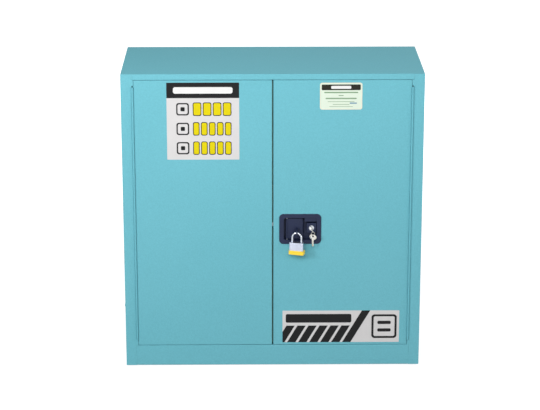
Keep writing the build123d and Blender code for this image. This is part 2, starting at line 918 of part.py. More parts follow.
# Centre bolt: a flat bar with a window for the paddle's arm and a fork for the rotor
with BuildPart() as bolt:
    low_y, high_y = front + bolt_front, front + bolt_front + bolt_thick
    low_z, high_z = bolt_z - bolt_height / 2, bolt_z + bolt_height / 2
    block((-bolt_reach, low_y, low_z), (bolt_tail, high_y, high_z))
    fillet(bolt.edges().filter_by(Axis.Y), radius=2)
    window = arm_pin_radius + pin_play
    block(
        (paddle_left - window, low_y, bolt_z - arm_height / 2 - 1),
        (paddle_left + window, high_y, bolt_z + arm_height / 2 + 1),
        mode=Mode.SUBTRACT,
    )
    fork = rotor_pin + pin_play
    block(
        (rotor_x - fork, low_y, low_z), (rotor_x + fork, high_y, bolt_z + fork),
        mode=Mode.SUBTRACT,
    )
write(bolt, "center_bolt")

# Rods that shoot into the rail and the sill, each with a slotted yoke at the rotor
slot_in = rod_arm * (1 - cos(radians(rotor_turn))) + rotor_pin + pin_play
slot_out = rotor_pin + pin_play
rods = {
    "top_rod": (top_rod_x, 1, rail_bottom + rod_reach),
    "bottom_rod": (bottom_rod_x, -1, sill_top - rod_reach),
}
for name, (x, way, tip) in rods.items():
    inward = -way  # the rotor's hub lies on this side of the yoke
    with BuildPart() as rod:
        block(
            (x + inward * (slot_in + yoke_rim), front + yoke_front, rotor_z - way * yoke_tail),
            (x - inward * (slot_out + yoke_rim), front + yoke_front + yoke_thick,
             rotor_z + way * yoke_reach),
        )
        block(
            (x + inward * slot_in, front + yoke_front - 1, rotor_z - slot_out),
            (x - inward * slot_out, front + yoke_front + yoke_thick + 1, rotor_z + slot_out),
            mode=Mode.SUBTRACT,
        )
        start = rotor_z + way * rod_start
        drill((x, rod_y, start), (0, 0, way), rod_radius, abs(tip - start), mode=Mode.ADD)
        fillet(rod.edges().group_by(Axis.Z)[-1 if way > 0 else 0], radius=rod_tip_round)
    write(rod, name)

# Guides for the rods and the bolt, on the inner panel
with BuildPart() as guides:
    for x, places in (
        (top_rod_x, (rotor_z + guide_from_rotor, door_top - guide_from_edge)),
        (bottom_rod_x, (rotor_z - guide_from_rotor, door_bottom + guide_from_edge)),
    ):
        for z in places:
            block(
                (x - guide_width / 2, rod_y - rod_radius - guide_rim, z - guide_length / 2),
                (x + guide_width / 2, inner_face, z + guide_length / 2),
            )
            drill((x, rod_y, z - guide_length), (0, 0, 1), rod_radius + rod_fit, 2 * guide_length)
    guide_x = seam / 2 + bolt_guide_inset
    block(
        (guide_x, low_y - guide_rim, low_z - bolt_guide_rim),
        (guide_x + bolt_guide_length, inner_face, high_z + bolt_guide_rim),
    )
    block(
        (guide_x, low_y - rod_fit, low_z - rod_fit),
        (guide_x + bolt_guide_length, high_y + rod_fit, high_z + rod_fit),
        mode=Mode.SUBTRACT,
    )
write(guides, "latch_guides")

# Lock plug with its keyway, and the cam behind the pan
up_lean = (-sin(radians(key_lean)), 0, cos(radians(key_lean)))
key_side = (-cos(radians(key_lean)), 0, -sin(radians(key_lean)))
key_plane = Plane(origin=tuple(key_root), x_dir=(0, -1, 0), z_dir=key_side)
face_plane = Plane(origin=tuple(key_root), x_dir=up_lean, z_dir=(0, -1, 0))
cam_front = pan_back + cam_gap
with BuildPart() as plug:
    drill(tuple(key_root), (0, 1, 0), plug_radius, cam_front - lock_face, mode=Mode.ADD)
    drill(tuple(key_root), (0, 1, 0), plug_collar, housing_set_back + plug_proud, mode=Mode.ADD)
    fillet(plug.edges().group_by(Axis.Y)[0], radius=0.6)
    with BuildSketch(face_plane):
        Rectangle(key_blade + 2 * keyway_gap, key_thick + 2 * keyway_gap)
    extrude(amount=-(key_depth + keyway_gap), mode=Mode.SUBTRACT)
write(plug, "lock_plug")

with BuildPart() as cam:
    block(
        (lock_x - cam_width / 2, cam_front, lock_z - cam_length),
        (lock_x + cam_width / 2, cam_front + cam_thick, lock_z + cam_width / 2),
    )
    fillet(cam.edges().filter_by(Axis.Y), radius=3)
write(cam, "lock_cam")

# Key in the lock: its plate is sketched outwards and upwards from the plug's face
with BuildPart() as key:
    with BuildSketch(key_plane.offset(-key_thick / 2)):
        with Locations((bow_reach, -bow_drop)):
            Ellipse(bow_half_length, bow_half_width)
        with Locations(((blade_overlap - key_depth) / 2, 0)):
            Rectangle(key_depth + blade_overlap, key_blade)
        with Locations((bow_reach, -key_hole_drop)):
            Circle(key_hole, mode=Mode.SUBTRACT)
    extrude(amount=key_thick)
write(key, "lock_key")

# Key ring through the bow, and the spare key that hangs on it
hole_at = key_plane.from_local_coords(Vector(bow_reach, -key_hole_drop, 0))
ring_top = hole_at - Vector(*up_lean) * ring_hang
ring_mid = ring_top - Vector(0, 0, ring_radius)
ring_axis = (sin(radians(ring_turn)), -cos(radians(ring_turn)), 0)
with BuildPart() as ring:
    with Locations(Plane(origin=tuple(ring_mid), z_dir=ring_axis).location):
        Torus(ring_radius, ring_wire)
write(ring, "key_ring")

spare_hole_z = ring_mid.Z - ring_radius - ring_hang
spare_top = spare_hole_z + key_hole + spare_hole_rim
with BuildPart() as spare:
    swing = radians(spare_turn)
    spare_plane = Plane(
        origin=(ring_mid.X, ring_mid.Y, 0), x_dir=(cos(swing), -sin(swing), 0),
        z_dir=(-sin(swing), -cos(swing), 0),
    )
    with BuildSketch(spare_plane.offset(-key_thick / 2)):
        with Locations((0, spare_top - spare_bow / 2)):
            Ellipse(spare_width / 2, spare_bow / 2)
        with Locations((0, spare_top - spare_bow * spare_shoulder)):
            Trapezoid(spare_width * spare_shoulder, spare_bow * spare_shoulder, 60, rotation=180)
        blade_high, blade_low = spare_top - spare_bow * 0.8, spare_top - spare_length
        with Locations((0, (blade_high + blade_low) / 2)):
            Rectangle(key_blade, blade_high - blade_low)
        with Locations((0, spare_hole_z)):
            Circle(key_hole, mode=Mode.SUBTRACT)
    extrude(amount=key_thick)
    tip_edges = spare.faces().sort_by(Axis.Z)[0].edges().group_by(SortBy.LENGTH)[0]
    fillet(tip_edges, radius=2)
write(spare, "spare_key")

# Padlock, hung in the paddle's eye and turned a little from the door
turn = radians(padlock_turn)
across = (cos(turn), -sin(turn), 0)
hang = Plane(origin=(eye_x, padlock_y, 0), x_dir=across, z_dir=(0, 0, 1))
upright = Plane(origin=(eye_x, padlock_y, 0), x_dir=across, z_dir=(-sin(turn), -cos(turn), 0))
leg = shackle_spacing / 2
arch_z = shackle_top - leg
with BuildPart() as shackle:
    with BuildLine(upright):
        Line((leg, lock_body_top - toe_depth), (leg, arch_z))
        CenterArc((0, arch_z), leg, 0, 180)
        Line((-leg, arch_z), (-leg, lock_body_top - heel_depth))
    with BuildSketch(hang.offset(lock_body_top - toe_depth)):
        with Locations((leg, 0)):
            Circle(shackle_radius)
    sweep()
write(shackle, "padlock_shackle")

body_bottom = lock_body_top - lock_body_height + bumper_drop
plate_pitch = (lock_body_top - body_bottom) / plate_count
with BuildPart() as lock_body:
    with BuildSketch(hang.offset(body_bottom)):
        RectangleRounded(
            lock_body_width - 2 * groove_depth, lock_body_thick - 2 * groove_depth,
            body_corner - groove_depth,
        )
    extrude(amount=lock_body_top - body_bottom)
    for i in range(plate_count):
        with BuildSketch(hang.offset(body_bottom + plate_pitch * i)):
            RectangleRounded(lock_body_width, lock_body_thick, body_corner)
        extrude(amount=plate_pitch - (plate_groove if i < plate_count - 1 else 0))
    for x, deep in ((leg, toe_depth), (-leg, heel_depth)):
        with BuildSketch(hang.offset(lock_body_top)):
            with Locations((x, 0)):
                Circle(shackle_radius + leg_gap)
        extrude(amount=-(deep + leg_hole_spare), mode=Mode.SUBTRACT)
    with BuildSketch(hang.offset(body_bottom)):
        Rectangle(keyway_width, keyway_length)
    extrude(amount=keyway_depth, mode=Mode.SUBTRACT)
write(lock_body, "padlock_body")

with BuildPart() as bumper:
    floor_z = body_bottom - bumper_drop
    wide = lock_body_width + 2 * (bumper_wall + bumper_gap)
    thick = lock_body_thick + 2 * (bumper_wall + bumper_gap)
    with BuildSketch(hang.offset(floor_z)):
        RectangleRounded(wide, thick, body_corner + bumper_wall + bumper_gap)
    extrude(amount=bumper_height)
    rims = bumper.faces().filter_by(Axis.Z)
    fillet(rims.edges(), radius=1)
    with BuildSketch(hang.offset(body_bottom)):
        RectangleRounded(
            lock_body_width + 2 * bumper_gap, lock_body_thick + 2 * bumper_gap,
            body_corner + bumper_gap,
        )
    extrude(amount=bumper_height, mode=Mode.SUBTRACT)
    with BuildSketch(hang.offset(floor_z)):
        Circle(bumper_hole)
    extrude(amount=bumper_drop, mode=Mode.SUBTRACT)
write(bumper, "padlock_bumper")

# Vents: a flanged sleeve through both walls, a flame screen inside and a screw cap outside
sleeve_in, sleeve_out = liner_inner, width / 2 + vent_proud
for side, s in sides.items():
    with BuildPart() as sleeve:
        at = (s * sleeve_in, vent_y, vents[side])
        drill(at, (s, 0, 0), vent_radius, sleeve_out - sleeve_in, mode=Mode.ADD)
        rim = (s * width / 2, vent_y, vents[side])
        drill(rim, (s, 0, 0), vent_flange, vent_flange_thick, mode=Mode.ADD)
        drill(at, (s, 0, 0), vent_bore, sleeve_out - sleeve_in)
    write(sleeve, f"vent_sleeve_{side}")

with BuildPart() as screens:
    for side, s in sides.items():
        at = (s * (sleeve_in + screen_inset), vent_y, vents[side])
        drill(at, (s, 0, 0), vent_bore - running_gap, screen_thick, mode=Mode.ADD)
write(screens, "flame_screens")

for side, s in sides.items():
    with BuildPart() as vent_cap:
        rim = width / 2 + vent_flange_thick + joint_line
        lid = sleeve_out + joint_line
        at = (s * rim, vent_y, vents[side])
        drill(at, (s, 0, 0), vent_radius + cap_wall, lid + cap_wall - rim, mode=Mode.ADD)
        drill(at, (s, 0, 0), vent_radius + joint_line, lid - rim)
        chamfer(vent_cap.edges().sort_by(lambda e: s * e.center().X)[-1], length=1)
        grip = lid + cap_wall
        block(
            (s * grip, vent_y - cap_grip_length / 2, vents[side] - cap_grip_width / 2),
            (s * (grip + cap_grip_height), vent_y + cap_grip_length / 2,
             vents[side] + cap_grip_width / 2),
        )
    write(vent_cap, f"vent_cap_{side}")

# Ground stud and nut, low on the left side
with BuildPart() as stud:
    wall = -width / 2
    drill((wall + sheet, stud_y, stud_z), (-1, 0, 0), stud_radius, stud_length, mode=Mode.ADD)
    drill((wall + sheet, stud_y, stud_z), (1, 0, 0), stud_head, stud_head_thick, mode=Mode.ADD)
    with BuildSketch(Plane(origin=(wall, stud_y, stud_z), z_dir=(-1, 0, 0))):
        RegularPolygon(nut_flats / 2, 6, major_radius=False)
    extrude(amount=nut_thick)
write(stud, "ground_stud")

# Levelling feet, screwed right in
for row, y in (("front", -foot_y), ("rear", foot_y)):
    for side, s in sides.items():
        with BuildPart() as foot:
            drill((s * foot_x, y, 0), (0, 0, 1), foot_radius, foot_pad, mode=Mode.ADD)
            fillet(foot.edges().group_by(Axis.Z)[-1], radius=2)
            drill(
                (s * foot_x, y, 0), (0, 0, 1), foot_rod_radius,
                base_top + foot_nut_height + foot_rod_rise, mode=Mode.ADD,
            )
        write(foot, f"foot_{row}_{side}")
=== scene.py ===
import json
import math

import bmesh
import bpy
from mathutils import Matrix, Vector


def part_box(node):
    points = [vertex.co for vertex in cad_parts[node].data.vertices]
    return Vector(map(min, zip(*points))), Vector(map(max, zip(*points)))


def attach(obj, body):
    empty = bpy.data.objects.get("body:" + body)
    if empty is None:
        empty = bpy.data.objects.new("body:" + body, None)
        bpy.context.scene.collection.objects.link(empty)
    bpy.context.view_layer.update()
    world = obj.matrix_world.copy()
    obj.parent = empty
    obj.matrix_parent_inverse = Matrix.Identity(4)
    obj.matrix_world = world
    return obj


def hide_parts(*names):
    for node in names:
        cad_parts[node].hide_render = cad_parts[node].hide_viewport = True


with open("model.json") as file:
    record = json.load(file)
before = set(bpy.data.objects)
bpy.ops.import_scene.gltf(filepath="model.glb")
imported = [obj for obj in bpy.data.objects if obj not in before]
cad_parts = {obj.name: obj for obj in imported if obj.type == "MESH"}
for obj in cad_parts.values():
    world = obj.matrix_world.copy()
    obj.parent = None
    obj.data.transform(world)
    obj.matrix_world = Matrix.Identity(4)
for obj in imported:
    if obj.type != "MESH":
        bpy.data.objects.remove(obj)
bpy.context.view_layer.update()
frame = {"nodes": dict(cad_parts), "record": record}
nodes = frame["nodes"]
mm = 0.001
print("frame loaded:", len(nodes), "parts")


# Small helpers

def hexToLinear(code):
    channels = [int(code[i:i + 2], 16) / 255 for i in (1, 3, 5)]
    linear = [c / 12.92 if c <= 0.04045 else ((c + 0.055) / 1.055) ** 2.4 for c in channels]
    return (*linear, 1.0)


def addNode(tree, kind, inputs=None, **settings):
    # settings first, because some sockets appear only in certain modes
    node = tree.nodes.new(kind)
    for name, value in settings.items():
        setattr(node, name, value)
    for key, value in (inputs or {}).items():
        socket = node.inputs[key]
        if isinstance(value, bpy.types.NodeSocket):
            tree.links.new(value, socket)
        else:
            socket.default_value = value
    return node


def newMaterial(name):
    material = bpy.data.materials.new(name)
    material.use_nodes = True
    material.node_tree.nodes.clear()
    return material, material.node_tree


def maths(tree, operation, *values):
    node = addNode(tree, "ShaderNodeMath", dict(enumerate(values)), operation=operation)
    return node.outputs[0]


def joinXYZ(tree, **parts):
    return addNode(tree, "ShaderNodeCombineXYZ", parts).outputs[0]


def objectSpot(tree, stretch=(1, 1, 1)):
    place = addNode(tree, "ShaderNodeTexCoord").outputs["Object"]
    return addNode(tree, "ShaderNodeMapping", {"Vector": place, "Scale": stretch}).outputs["Vector"]


def noise(tree, spot, size, detail):
    # a cloudy pattern whose patches are about size mm wide
    scale = 1 / (size * mm)
    cloud = addNode(tree, "ShaderNodeTexNoise", {"Vector": spot, "Scale": scale, "Detail": detail})
    return cloud.outputs["Fac"]


def spread(tree, value, low, high, start=0.3, end=0.7):
    # noise lies mostly between 0.3 and 0.7; this takes it to a number between low and high
    return addNode(tree, "ShaderNodeMapRange", {
        "Value": value, "From Min": start, "From Max": end, "To Min": low, "To Max": high,
    }).outputs["Result"]


def bump(tree, height, depth, **under):
    return addNode(tree, "ShaderNodeBump", {
        "Height": height, "Strength": 1.0, "Distance": depth * mm, **under,
    }).outputs["Normal"]


def blendColours(tree, factor, first, second):
    # a colour is a hex code or a socket; 0, 6 and 7 are the mix's factor and its two colours
    first, second = [hexToLinear(c) if isinstance(c, str) else c for c in (first, second)]
    mix = addNode(tree, "ShaderNodeMix", {0: factor, 6: first, 7: second}, data_type="RGBA")
    return mix.outputs[2]


def finishShader(tree, inputs):
    shader = addNode(tree, "ShaderNodeBsdfPrincipled", inputs)
    addNode(tree, "ShaderNodeOutputMaterial", {"Surface": shader.outputs["BSDF"]})


def dress(names, material):
    for name in names:
        for slot in nodes[name].material_slots:
            slot.material = material


def addPiece(name, mesh, body, material, standsFor=()):
    piece = bpy.data.objects.new(name, mesh)
    bpy.context.scene.collection.objects.link(piece)
    mesh.materials.clear()
    mesh.materials.append(material)
    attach(piece, body)
    if standsFor:
        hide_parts(*standsFor)


def plainMesh(holder):
    # turns a curve or a live modifier into a plain mesh, then drops the holder
    bpy.context.view_layer.update()
    ready = holder.evaluated_get(bpy.context.evaluated_depsgraph_get())
    solid = bpy.data.meshes.new_from_object(ready)
    bpy.data.objects.remove(holder)
    return solid


def joinMeshes(name, meshes):
    both = bmesh.new()
    for mesh in meshes:
        both.from_mesh(mesh)
    joined = bpy.data.meshes.new(name)
    both.to_mesh(joined)
    both.free()
    return joined


def tidyShading(mesh, degrees=35, weld=0.002):
    # welds doubles, turns faces outward and keeps only the steep edges sharp
    edit = bmesh.new()
    edit.from_mesh(mesh)
    bmesh.ops.remove_doubles(edit, verts=edit.verts, dist=weld * mm)
    bmesh.ops.recalc_face_normals(edit, faces=edit.faces)
    for face in edit.faces:
        face.smooth = True
    for edge in edit.edges:
        closed = len(edge.link_faces) == 2
        edge.smooth = closed and edge.calc_face_angle(0) < math.radians(degrees)
    edit.to_mesh(mesh)
    edit.free()
    return mesh


# Finishes: sizes in mm, roughness from smooth to dull where a pair is given

coatLook = {
    "colour": "#66ADBA", "fadedColour": "#6DB2BF", "fadePatch": 420,
    # the peel's share of painted shade and highlight in the colour
    "peel": 4.2, "peelDepth": 0.45, "peelPaintedShade": 0.042, "panelWave": 300, "waveDepth": 0.8,
    "roughness": 0.82, "roughnessSpread": 0.04, "ior": 1.2,
}


def powderCoat(name, look):
    # polyester powder coat on sheet steel: low gloss, a fine orange peel, and panels that are not
    # quite flat;
    # the peel also paints shade and highlight into the colour, a little darker in its dimples and
    # lighter on its crests
    material, tree = newMaterial(name)
    spot = objectSpot(tree)
    patch = noise(tree, spot, look["fadePatch"], detail=2.0)
    peel = noise(tree, spot, look["peel"], detail=2.0)
    wave = noise(tree, spot, look["panelWave"], detail=0.0)
    colour = blendColours(tree, patch, look["colour"], look["fadedColour"])
    # painted shade and highlight: the peel noise darkens and lightens the coat's colour, as light
    # on the peel would
    paintedPeelShade = spread(tree, peel, 1 - look["peelPaintedShade"], 1 + look["peelPaintedShade"])
    paintedShadeColour = addNode(tree, "ShaderNodeVectorMath", {0: colour, "Scale": paintedPeelShade}, operation="SCALE")
    middle, swing = look["roughness"], look["roughnessSpread"]
    flatness = bump(tree, wave, look["waveDepth"])
    finishShader(tree, {
        "Base Color": paintedShadeColour.outputs["Vector"], "IOR": look["ior"],
        "Roughness": spread(tree, patch, middle - swing, middle + swing),
        "Normal": bump(tree, peel, look["peelDepth"], Normal=flatness),
    })
    return material


metalLooks = {
    # clear zinc plate: cool grey, a soft blur with faint rolling lines
    "clearZincPlate": {
        "colour": "#C3C7CA", "dullColour": "#A9AEB3", "patch": 40, "roughness": (0.30, 0.42),
        "lineWidth": 0.8, "lineStretch": (1, 1, 0.05), "lineDepth": 0.004,
    },
    # hard chrome on the shackle and the plug: near mirror with hairlines
    "hardChrome": {
        "colour": "#C9CCD3", "dullColour": "#B2B7C0", "patch": 12, "roughness": (0.12, 0.22),
        "lineWidth": 0.4, "lineStretch": (1, 1, 0.2), "lineDepth": 0.001,
    },
    # nickel silver keys: warm white metal, milled and handled
    "nickelSilver": {
        "colour": "#DAD8D1", "dullColour": "#C3C0B7", "patch": 9, "roughness": (0.24, 0.36),
        "lineWidth": 0.3, "lineStretch": (1, 0.3, 0.3), "lineDepth": 0.003,
    },
    # bright steel plates of the padlock: cool, brushed across
    "brightSteelPlate": {
        "colour": "#C6CCDA", "dullColour": "#B2B8C7", "patch": 15, "roughness": (0.30, 0.40),
        "lineWidth": 0.35, "lineStretch": (0.06, 0.06, 1), "lineDepth": 0.004,
    },
}


def metalFinish(name, look):
    # a bare or plated metal: fine lines along one axis, and a slow change of sheen
    material, tree = newMaterial(name)
    lines = noise(tree, objectSpot(tree, look["lineStretch"]), look["lineWidth"], detail=2.0)
    patch = noise(tree, objectSpot(tree), look["patch"], detail=3.0)
    finishShader(tree, {
        "Base Color": blendColours(tree, patch, look["colour"], look["dullColour"]),
        "Metallic": 1.0, "Roughness": spread(tree, patch, *look["roughness"]),
        "Normal": bump(tree, lines, look["lineDepth"]),
    })
    return material


grainedLooks = {
    # fine-texture black powder coat on the latch: small even bumps, paler where it is handled
    "texturedBlackPowderCoat": {
        "colour": "#121B34", "secondColour": "#1A2442", "patch": 30, "patchDetail": 3.0,
        "grain": 0.9, "grainDepth": 0.09, "roughness": 0.5, "ior": 1.38,
    },
    # natural polyethylene tray: milky, waxy skin
    "naturalPolyethylene": {
        "colour": "#E3E5DF", "secondColour": "#D9DCD6", "patch": 200, "patchDetail": 2.0,
        "grain": 1.6, "grainDepth": 0.02, "roughness": 0.42, "ior": 1.51,
    },
    # soft vinyl bumper: saturated yellow with a low gloss
    "softVinyl": {
        "colour": "#F6D33E", "secondColour": "#F2C92E", "patch": 20, "patchDetail": 2.0,
        "grain": 0.7, "grainDepth": 0.01, "roughness": 0.38, "ior": 1.52,
    },
    # cellular rubber seal: dull green-grey, dark so that it also stands in for painted shade in the
    # door seam
    "paintedSeamShadeRubber": {
        "colour": "#435E4F", "secondColour": "#506C5B", "patch": 25, "patchDetail": 2.0,
        "grain": 0.9, "grainDepth": 0.05, "roughness": 0.85, "ior": 1.50,
    },
}


def grainedFinish(name, look):
    # a textured coat, moulded plastic or rubber: nearly even colour and a skin of fine grain
    material, tree = newMaterial(name)
    spot = objectSpot(tree)
    patch = noise(tree, spot, look["patch"], look["patchDetail"])
    grain = noise(tree, spot, look["grain"], detail=2.0)
    finishShader(tree, {
        "Base Color": blendColours(tree, patch, look["colour"], look["secondColour"]),
        "Roughness": look["roughness"], "IOR": look["ior"],
        "Normal": bump(tree, grain, look["grainDepth"]),
    })
    return material


paint = powderCoat("powderCoatedSteel", coatLook)
innerPaint = powderCoat("powderCoatedLiner", {**coatLook, "fadePatch": 300})
metals = {name: metalFinish(name, look) for name, look in metalLooks.items()}
grained = {name: grainedFinish(name, look) for name, look in grainedLooks.items()}

slotFinish = {
    "body_paint": paint, "liner_paint": innerPaint, "vent_brass": paint,
    "latch_black": grained["texturedBlackPowderCoat"], "zinc_steel": metals["clearZincPlate"],
    "lock_chrome": metals["hardChrome"], "key_steel": metals["nickelSilver"],
    "padlock_steel": metals["brightSteelPlate"], "tray_plastic": grained["naturalPolyethylene"],
    # the seal's dark green-grey is partly painted shade in the door seam
    "bumper_yellow": grained["softVinyl"], "seal_rubber": grained["paintedSeamShadeRubber"],
}
for row in frame["record"]["subparts"]:
    if row["material_slot"] in slotFinish:
        dress([row["node"]], slotFinish[row["material_slot"]])
print("finishes made:", len(bpy.data.materials))


# Printed films: generic blocks, bars and stripes in place of the printed words, sizes in mm

def makePrintMask(softEdge=0.15):
    # 1 inside a rounded block of the film, 0 outside, all in metres
    tree = bpy.data.node_groups.new("printMask", "ShaderNodeTree")
    tree.interface.new_socket("Position", in_out="INPUT", socket_type="NodeSocketVector")
    for name in ("Centre X", "Centre Z", "Half Width", "Half Height", "Corner", "Slant"):
        tree.interface.new_socket(name, in_out="INPUT", socket_type="NodeSocketFloat")
    tree.interface.new_socket("Mask", in_out="OUTPUT", socket_type="NodeSocketFloat")
    given = addNode(tree, "NodeGroupInput").outputs
    parts = addNode(tree, "ShaderNodeSeparateXYZ", {0: given["Position"]}).outputs

    up = maths(tree, "SUBTRACT", parts["Z"], given["Centre Z"])
    lean = maths(tree, "MULTIPLY", up, given["Slant"])
    fromMiddle = maths(tree, "SUBTRACT", parts["X"], given["Centre X"])
    along = maths(tree, "SUBTRACT", fromMiddle, lean)
    overhangs = []
    for offset, half in ((along, given["Half Width"]), (up, given["Half Height"])):
        inner = maths(tree, "SUBTRACT", half, given["Corner"])
        overhangs.append(maths(tree, "SUBTRACT", maths(tree, "ABSOLUTE", offset), inner))
    squares = [maths(tree, "POWER", maths(tree, "MAXIMUM", value, 0.0), 2.0) for value in overhangs]
    corner = maths(tree, "SQRT", maths(tree, "ADD", *squares))
    inside = maths(tree, "MINIMUM", maths(tree, "MAXIMUM", *overhangs), 0.0)
    distance = maths(tree, "SUBTRACT", maths(tree, "ADD", corner, inside), given["Corner"])
    mask = spread(tree, distance, 1.0, 0.0, -softEdge * mm, softEdge * mm)
    addNode(tree, "NodeGroupOutput", {"Mask": mask})
    return tree


printMask = makePrintMask()
inks = {
    "black": "#08080A", "white": "#DAD9D8", "yellow": "#D0C000", "olive": "#16160C",
    "green": "#7E9A7C", "cream": "#DDD6BE", "grey": "#CAC8C8", "card": "#CFDBCB",
    "blue": "#6E93A6",
}
filmLook = {
    "wearPatch": 60, "wearShade": (0.96, 1.04), "ripple": 35, "rippleDepth": 0.04,
    "roughness": 0.5, "ior": 1.3,
}


def printedFilm(name, node, ground, marks, look):
    # screen-printed vinyl film: even ink with a satin face
    # each mark is (ink, x, z, width, height, corner, slant), from the film's middle
    material, tree = newMaterial(name)
    spot = objectSpot(tree)
    low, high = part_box(node)
    centre = (low + high) / 2
    colour = inks[ground]
    for ink, x, z, wide, tall, corner, slant in marks:
        mask = addNode(tree, "ShaderNodeGroup", node_tree=printMask)
        tree.links.new(spot, mask.inputs["Position"])
        for key, value in (("Centre X", centre.x + x * mm), ("Centre Z", centre.z + z * mm),
                           ("Half Width", wide / 2 * mm), ("Half Height", tall / 2 * mm),
                           ("Corner", corner * mm), ("Slant", slant)):
            mask.inputs[key].default_value = value
        colour = blendColours(tree, mask.outputs["Mask"], colour, inks[ink])
    cloud = noise(tree, spot, look["wearPatch"], detail=4.0)
    wear = spread(tree, cloud, *look["wearShade"], 0.0, 1.0)
    shade = addNode(tree, "ShaderNodeHueSaturation", {"Color": colour, "Value": wear})
    finishShader(tree, {
        "Base Color": shade.outputs["Color"], "Roughness": look["roughness"], "IOR": look["ior"],
        "Normal": bump(tree, noise(tree, spot, look["ripple"], detail=1.0), look["rippleDepth"]),
    })
    dress([node], material)


panelPrint = {
    "headerHeight": 57, "headerCorner": 2, "titleSize": (214, 24), "titleCorner": 8,
    "rowDepths": (98, 171, 243), "blockRows": (4, 5, 5), "blockSpan": (-39, 105),
    "blockHeight": 50, "blockGap": 5, "blockLayers": (("black", 0, 7), ("yellow", 3, 5)),
    "symbolX": -73, "symbolLayers": (("black", 46, 9), ("grey", 36, 6), ("black", 46 / 3, 3)),
}


def panelMarks(film):
    # a block's layer is (ink, inset, corner), a symbol's is (ink, size, corner)
    low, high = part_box("decal_panel")
    wide, tall = (high.x - low.x) / mm, (high.z - low.z) / mm
    deep = film["headerHeight"]
    header = (tall - deep) / 2
    start, end = film["blockSpan"]
    marks = [("black", 0, header, wide, deep, film["headerCorner"], 0),
             ("white", 0, header, *film["titleSize"], film["titleCorner"], 0)]
    for depth, count in zip(film["rowDepths"], film["blockRows"]):
        z = tall / 2 - depth
        for ink, size, corner in film["symbolLayers"]:
            marks.append((ink, film["symbolX"], z, size, size, corner, 0))
        pitch = (end - start) / count
        for i in range(count):
            x = start + pitch * (i + 0.5)
            for ink, inset, corner in film["blockLayers"]:
                across = pitch - film["blockGap"] - 2 * inset
                marks.append((ink, x, z, across, film["blockHeight"] - 2 * inset, corner, 0))
    return marks


cardPrint = {
    "corner": 8, "border": 2.5, "innerCorner": 7, "headerDepth": 17, "headerHeight": 21,
    "headerInset": 6, "headerCorner": 4, "titleSize": (72, 11), "titleCorner": 4,
    # depth below the top, length and height of each bar that stands for small print
    "lines": ((36, 122, 5), (47, 18, 3), (58, 112, 5), (70, 96, 2), (80, 60, 2), (88, 84, 1.6)),
    "lineFlat": 0.1, "blueBar": (44, -26, 26, 5), "blueCorner": 2,
}


def cardMarks(film):
    low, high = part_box("decal_card")
    wide, tall = (high.x - low.x) / mm, (high.z - low.z) / mm
    frameWidth = 2 * film["border"]
    header = tall / 2 - film["headerDepth"]
    headerWide = wide - 2 * film["headerInset"]
    marks = [
        ("cream", 0, 0, wide, tall, film["corner"], 0),
        ("card", 0, 0, wide - frameWidth, tall - frameWidth, film["innerCorner"], 0),
        ("olive", 0, header, headerWide, film["headerHeight"], film["headerCorner"], 0),
        ("white", 0, header, *film["titleSize"], film["titleCorner"], 0),
    ]
    for depth, length, height in film["lines"]:
        corner = height / 2 - film["lineFlat"]
        marks.append(("green", 0, tall / 2 - depth, length, height, corner, 0))
    marks.append(("blue", *film["blueBar"], film["blueCorner"], 0))
    return marks


bandPrint = {
    "stripePitch": 41, "stripeWidth": 31, "stripeHeight": 66, "stripeCorner": 0.5, "slant": 0.58,
    "stripeCount": 6, "firstStripe": -206, "longStripe": 57, "longStripeOver": 2,
    "frameX": 161, "frameLayers": (("black", 94, 12), ("grey", 78, 6)),
    "frameBar": (50, 13), "frameBarZ": 15, "frameBarCorner": 5,
    "barX": -83, "barZ": 32, "barSize": (244, 34), "barCorner": 6,
}


def bandMarks(film):
    low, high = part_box("decal_band")
    tall = (high.z - low.z) / mm
    rise, frameX = film["stripeHeight"], film["frameX"]
    stripes = [(film["firstStripe"] + i * film["stripePitch"], (rise - tall) / 2, rise)
               for i in range(film["stripeCount"])]
    stripes.append((film["longStripe"], 0, tall + film["longStripeOver"]))
    marks = [("black", x, z, film["stripeWidth"], length, film["stripeCorner"], film["slant"])
             for x, z, length in stripes]
    for ink, size, corner in film["frameLayers"]:
        marks.append((ink, frameX, 0, size, size, corner, 0))
    for z in (-film["frameBarZ"], film["frameBarZ"]):
        marks.append(("black", frameX, z, *film["frameBar"], film["frameBarCorner"], 0))
    marks.append(("black", film["barX"], film["barZ"], *film["barSize"], film["barCorner"], 0))
    return marks


printedFilm("printedVinylPanel", "decal_panel", "grey", panelMarks(panelPrint), filmLook)
printedFilm("printedVinylCard", "decal_card", "card", cardMarks(cardPrint), filmLook)
printedFilm("printedVinylBand", "decal_band", "grey", bandMarks(bandPrint), filmLook)
print("films printed")


# Geometry trees: each takes its sizes as group inputs and gives one coated mesh

def geometryTree(name, inputs):
    tree = bpy.data.node_groups.new(name, "GeometryNodeTree")
    for label, value in inputs.items():
        kind = "NodeSocketInt" if isinstance(value, int) else "NodeSocketFloat"
        tree.interface.new_socket(label, in_out="INPUT", socket_type=kind)
    tree.interface.new_socket("Geometry", in_out="OUTPUT", socket_type="NodeSocketGeometry")
    return tree, addNode(tree, "NodeGroupInput").outputs


def closeTree(tree, geometry, material):
    solid = addNode(tree, "GeometryNodeRealizeInstances", {"Geometry": geometry})
    coated = addNode(tree, "GeometryNodeSetMaterial", {
        "Geometry": solid.outputs["Geometry"], "Material": material,
    })
    addNode(tree, "NodeGroupOutput", {"Geometry": coated.outputs["Geometry"]})
    return tree


def placeOnPoints(tree, points, instance, **settings):
    return addNode(tree, "GeometryNodeInstanceOnPoints", {
        "Points": points, "Instance": instance, **settings,
    }).outputs["Instances"]


